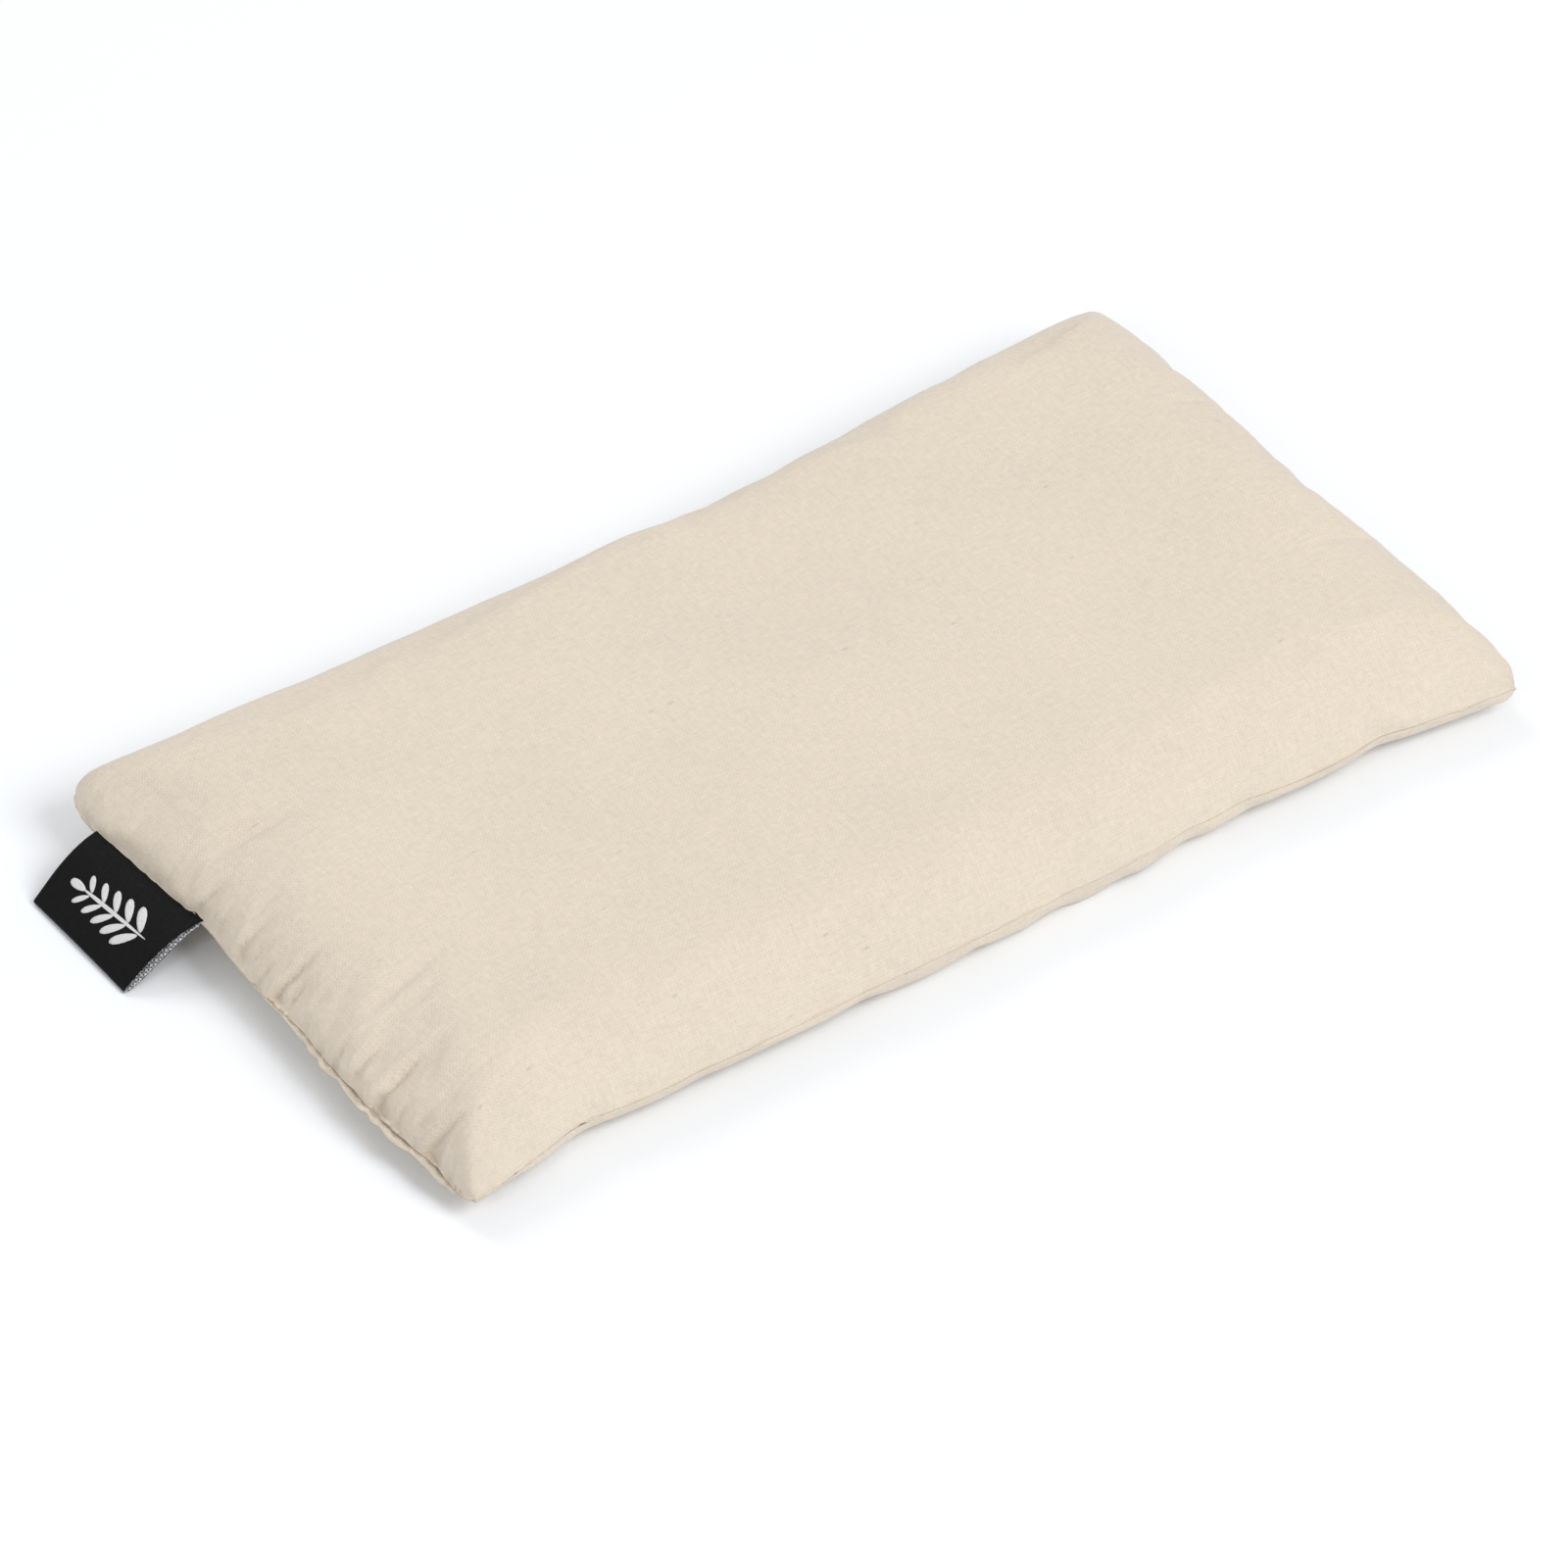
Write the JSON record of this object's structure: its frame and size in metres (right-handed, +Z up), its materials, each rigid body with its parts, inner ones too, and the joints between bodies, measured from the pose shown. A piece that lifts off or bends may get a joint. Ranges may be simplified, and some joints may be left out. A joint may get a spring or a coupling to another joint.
{
  "type": "eye pillow",
  "caption": "Flat rectangular seed-filled eye pillow in plain cotton, with an inner bag of linseed and lavender and a folded woven label in the closing seam.",
  "frame": {"origin": "centre of the flat underside, on the surface that the pillow rests on", "axes": "+X along the length away from the label end, +Y across towards the long side nearer the label, +Z up"},
  "size_m": [0.2385, 0.1182, 0.021],
  "materials": {
    "cover_cotton": "plain-woven natural cotton, matt",
    "inner_cotton": "thin unbleached cotton, matt",
    "sewing_thread": "spun cotton thread, slight sheen",
    "seed_fill": "smooth brown linseed with dried lavender buds",
    "label_ribbon": "black damask-woven ribbon, slight sheen"
  },
  "bodies": {
    "pillow": {"cover_top_panel": "cover_cotton", "cover_bottom_panel": "cover_cotton", "cover_seam_thread": "sewing_thread", "closing_seam_thread": "sewing_thread", "inner_bag_top_panel": "inner_cotton", "inner_bag_bottom_panel": "inner_cotton", "inner_bag_seam_thread": "sewing_thread", "inner_bag_closing_thread": "sewing_thread", "seed_fill": "seed_fill", "label_root": "label_ribbon"},
    "label": {"label_loop": "label_ribbon"}
  },
  "joints": [
    {"name": "label_flap", "type": "hinge", "parent": "pillow", "child": "label", "pos_m": [-0.11415, 0.0325, 0.00817], "axis": [0, 1, 0], "range_deg": [0, 90], "stiffness_Nm_per_rad": 0.0005}
  ]
}
